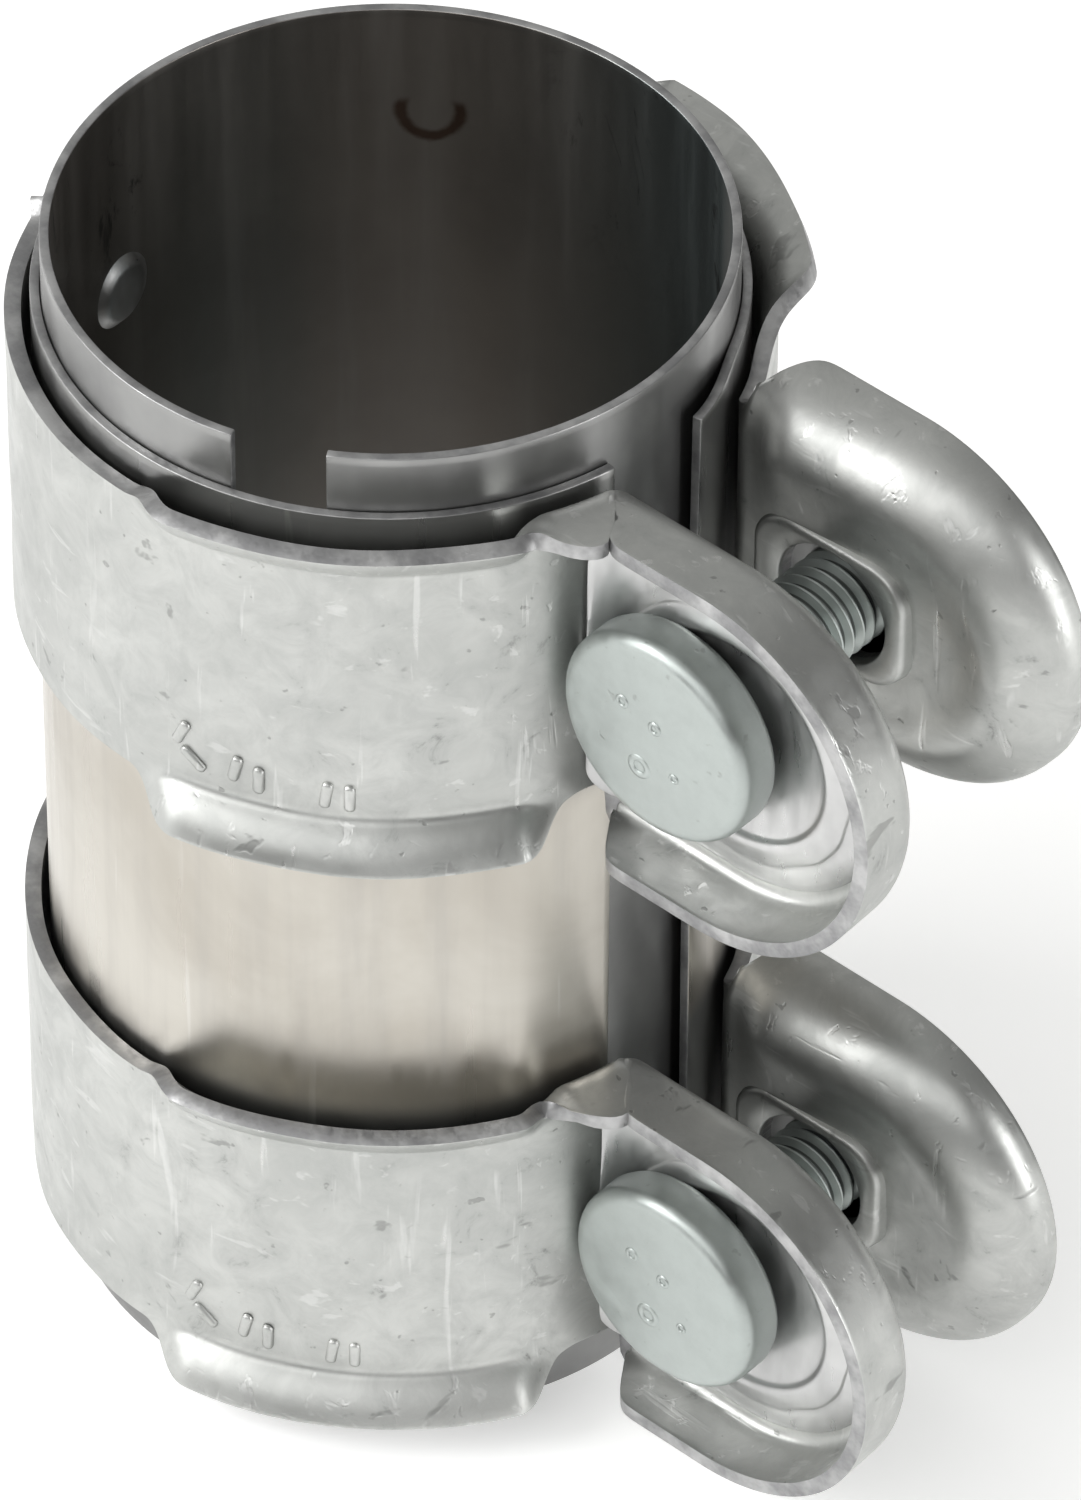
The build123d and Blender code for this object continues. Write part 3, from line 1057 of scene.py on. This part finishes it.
def make_button(level):
    """The clinch button's round top, standing in from the sleeve's wall."""
    azimuth = radians(BUTTON_AZIMUTH)
    centre = np.array([cos(azimuth), sin(azimuth), 0.0])
    across = np.array([-sin(azimuth), cos(azimuth), 0.0])
    up = np.array([0.0, 0.0, 1.0])
    z = level.z + BUTTON_RISE
    flank = [(4.6, 0.35), (4.0, 0.02), (3.5, -0.35), (3.1, -0.72)]
    top = [(2.7, -0.86), (1.3, -0.84), (0.01, -0.82)]
    foot_radius = 3.2

    def place(radius, angle, rise):
        run, height = radius * cos(angle), radius * sin(angle)
        sag = BORE_RADIUS - sqrt(BORE_RADIUS**2 - run * run)
        wall = BORE_RADIUS - sag * (1 if radius > foot_radius else 0.6)
        return centre * (wall + rise) + across * run + up * (z + height)

    bm = bmesh.new()
    lathe(bm, flank + top, place, 64)
    close_ends(bm)
    obj = finish_mesh(level.name + "_clinch_button", bm, PLATE, 40)
    return register(obj, "root", "inner_shell_steel")


# ---------------------------------------------------------------- build


inner = shell("inner_shell_piece", INNER_RADIUS, SHELL_LOW.z, SHELL_HIGH.z, INNER_SLOT, no_spring, INNER)
register(inner, "root", "inner_shell_steel", "inner_shell")
wrap = shell("outer_shell_piece", WRAP_RADIUS, WRAP_LOW.z, WRAP_HIGH.z, WRAP_SLOT, outer_spring, WRAP)
register(wrap, "root", "outer_shell_steel", "outer_shell")
for level_name in LEVELS:
    here = Level(level_name)
    make_band(here)
    insert_plate(here, here.front_floor, -1, 0.0, FRONT_FOOT_X, 3.0, level_name + "_head_plate")
    insert_plate(here, here.rear_floor, 1, REAR_TILT, REAR_FOOT_X, 0.0, level_name + "_nut_plate")
    make_bolt(here)
    make_washer(here)
    make_nut(here)
    make_button(here)


# ---------------------------------------------------------------- stage, light and camera


def make_floor():
    """A wide pale floor under the sleeve's lower end."""
    bm = bmesh.new()
    rings = [(0.001, 0.0), (300.0, 0.0), (1500.0, 0.0), (4000.0, 0.0)]
    lathe(bm, rings, lambda r, angle, along: (r * cos(angle), r * sin(angle), along - 0.05), 64)
    obj = finish_mesh("floor", bm, floor_material())


def floor_material():
    """Matt white board that glows a little, so the floor stays pale."""
    s = Shader("floor")
    s.bsdf.inputs["Specular IOR Level"].default_value = 0.0
    grain = s.noise(40, 2.0, 0.5)
    colour = s.mix(grain, (0.93, 0.93, 0.93), (0.95, 0.95, 0.95))
    s.bsdf.inputs["Emission Color"].default_value = (1.0, 1.0, 0.99, 1.0)
    s.bsdf.inputs["Emission Strength"].default_value = 0.41
    return s.done(colour, 0.95, 0.0)


def area_light(name, location, target, size, power):
    """A rectangular softbox that faces a target. Metres and watts."""
    light = bpy.data.lights.new(name, "AREA")
    light.shape = "RECTANGLE"
    light.size, light.size_y = size
    light.energy = power
    obj = bpy.data.objects.new(name, light)
    obj.location = location
    obj.rotation_euler = (Vector(target) - Vector(location)).to_track_quat("-Z", "Y").to_euler()
    bpy.context.scene.collection.objects.link(obj)
    return obj


def make_world():
    """A light tent: dim towards the viewer, brighter overhead and behind."""
    world = bpy.data.worlds.new("studio")
    bpy.context.scene.world = world
    world.use_nodes = True
    tree = world.node_tree
    direction = tree.nodes.new("ShaderNodeTexCoord").outputs["Generated"]
    along = tree.nodes.new("ShaderNodeVectorMath")
    along.operation = "DOT_PRODUCT"
    along.inputs[1].default_value = Vector((-0.75, -0.15, 0.65)).normalized()
    tree.links.new(direction, along.inputs[0])
    ramp = tree.nodes.new("ShaderNodeMapRange")
    ramp.interpolation_type = "SMOOTHSTEP"
    for socket, number in zip(ramp.inputs[1:], (-0.2, 0.95, 0.14, 0.55)):
        socket.default_value = number
    tree.links.new(along.outputs["Value"], ramp.inputs[0])
    background = tree.nodes["Background"]
    background.inputs["Color"].default_value = (1.0, 1.0, 0.98, 1.0)
    tree.links.new(ramp.outputs[0], background.inputs["Strength"])


def make_light():
    """Three softboxes: one at the left, a wide one over the viewer and a slim one at the right."""
    make_world()
    middle = (0.01, 0.0, 0.06)
    area_light("left_softbox", (-0.60, -0.72, 0.62), middle, (0.6, 0.6), 7.0)
    area_light("front_softbox", (0.34, -1.05, 1.02), middle, (1.4, 1.0), 5.6)
    area_light("right_softbox", (0.95, 0.15, 0.30), middle, (0.25, 0.6), 3.2)


CAMERA_AZIMUTH = 41.5
CAMERA_ELEVATION = 43.015
CAMERA_ROLL = 0.37
CAMERA_DISTANCE = 1.150
CAMERA_AIM = (0.0145, 0.04274)
FOCAL_SHARE = 11460 / 1500
SENSOR = 36.0


def make_camera():
    """A long lens at the product view's angle. The aim is measured across and up from the row's origin."""
    a, e, roll = radians(CAMERA_AZIMUTH), radians(CAMERA_ELEVATION), radians(CAMERA_ROLL)
    right = Vector((cos(a), sin(a), 0))
    back = Vector((sin(a) * cos(e), -cos(a) * cos(e), sin(e)))
    up = back.cross(right)
    across = right * cos(roll) + up * sin(roll)
    above = up * cos(roll) - right * sin(roll)
    data = bpy.data.cameras.new("camera")
    data.sensor_width = SENSOR
    data.lens = FOCAL_SHARE * SENSOR
    data.clip_start, data.clip_end = 0.05, 20
    camera = bpy.data.objects.new("camera", data)
    place = across * CAMERA_AIM[0] + above * CAMERA_AIM[1] + back * CAMERA_DISTANCE
    turn = Matrix((across, above, back)).transposed().to_4x4()
    camera.matrix_world = Matrix.Translation(place) @ turn
    bpy.context.scene.collection.objects.link(camera)
    bpy.context.scene.camera = camera


make_floor()
make_light()
make_camera()
bpy.context.scene.view_settings.view_transform = "Standard"
